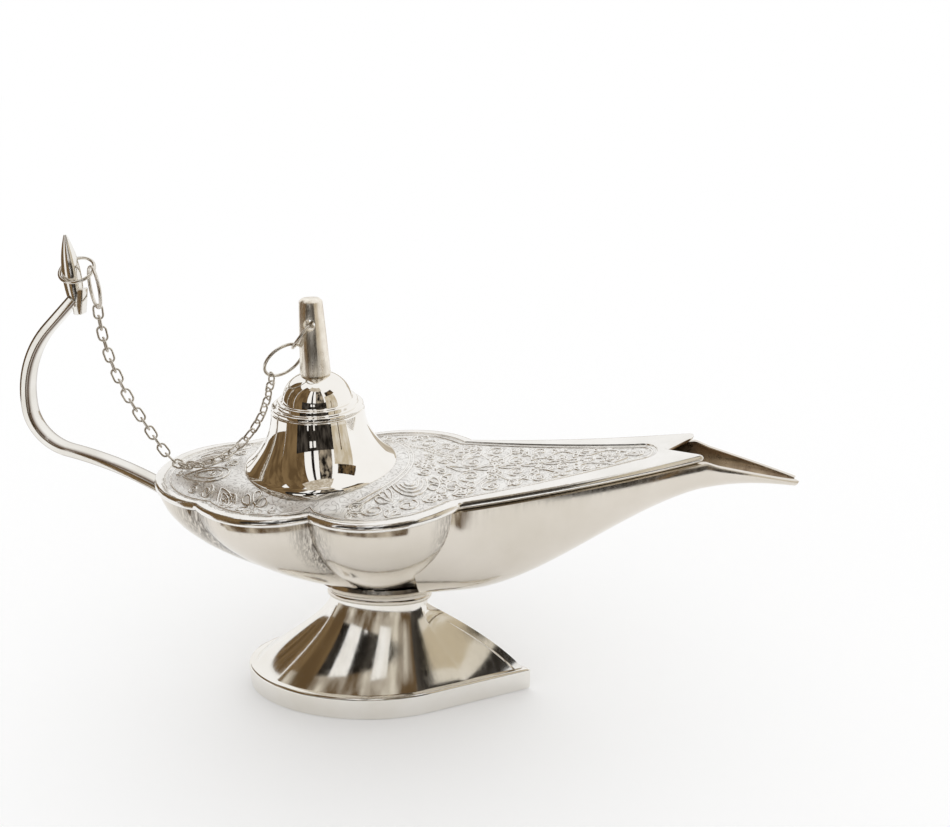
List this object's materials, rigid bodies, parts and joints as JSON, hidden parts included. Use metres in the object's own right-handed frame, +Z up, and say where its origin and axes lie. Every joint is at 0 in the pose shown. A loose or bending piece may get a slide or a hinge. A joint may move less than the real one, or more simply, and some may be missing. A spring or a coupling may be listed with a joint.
{
  "type": "genie oil lamp",
  "caption": "Genie oil lamp: lobed bowl with a long beaked spout and engraved deck on a teardrop foot, bell-shaped filler neck, lift-off lid, looped strap handle and keeper chain.",
  "frame": {"origin": "centre of the lamp's bounding box in plan, on the surface that the foot stands on", "axes": "+X along the lamp towards the spout's tip, +Y across it, +Z up"},
  "size_m": [0.1992, 0.0598, 0.127],
  "materials": {
    "nickel_plate": "polished nickel plate over cast brass",
    "wire": "bright drawn wire",
    "screw": "plain steel"
  },
  "bodies": {
    "lamp": {"bowl": "nickel_plate", "chain_link_01": "wire", "chain_link_02": "wire", "chain_link_03": "wire", "chain_link_04": "wire", "chain_link_05": "wire", "chain_link_06": "wire", "chain_link_07": "wire", "chain_link_08": "wire", "chain_link_09": "wire", "chain_link_10": "wire", "chain_link_11": "wire", "chain_link_12": "wire", "chain_link_13": "wire", "chain_link_14": "wire", "chain_link_15": "wire", "chain_link_16": "wire", "chain_link_17": "wire", "chain_link_18": "wire", "chain_link_19": "wire", "chain_link_20": "wire", "chain_link_21": "wire", "chain_link_22": "wire", "chain_link_23": "wire", "chain_link_24": "wire", "chain_link_25": "wire", "chain_link_26": "wire", "chain_link_27": "wire", "chain_link_28": "wire", "chain_link_29": "wire", "chain_link_30": "wire", "chain_link_31": "wire", "chain_link_32": "wire", "chain_link_33": "wire", "deck": "nickel_plate", "foot": "nickel_plate", "foot_screw": "screw", "handle": "nickel_plate", "handle_link_ring": "wire", "handle_ring": "wire", "neck": "nickel_plate"},
    "lid": {"lid_cap": "nickel_plate", "lid_finial": "nickel_plate", "lid_ring": "wire", "lid_link_ring": "wire"}
  },
  "joints": [
    {"name": "lid_lift", "type": "slide", "parent": "lamp", "child": "lid", "axis": [0, 0, 1], "range_m": [0, 0.024], "deforming": ["chain_link_01", "chain_link_02", "chain_link_03", "chain_link_04", "chain_link_05", "chain_link_06", "chain_link_07", "chain_link_08", "chain_link_09", "chain_link_10", "chain_link_11", "chain_link_12", "chain_link_13", "chain_link_14", "chain_link_15", "chain_link_16", "chain_link_17", "chain_link_18", "chain_link_19", "chain_link_20", "chain_link_21", "chain_link_22", "chain_link_23", "chain_link_24", "chain_link_25", "chain_link_26", "chain_link_27", "chain_link_28", "chain_link_29", "chain_link_30", "chain_link_31", "chain_link_32", "chain_link_33"]}
  ]
}
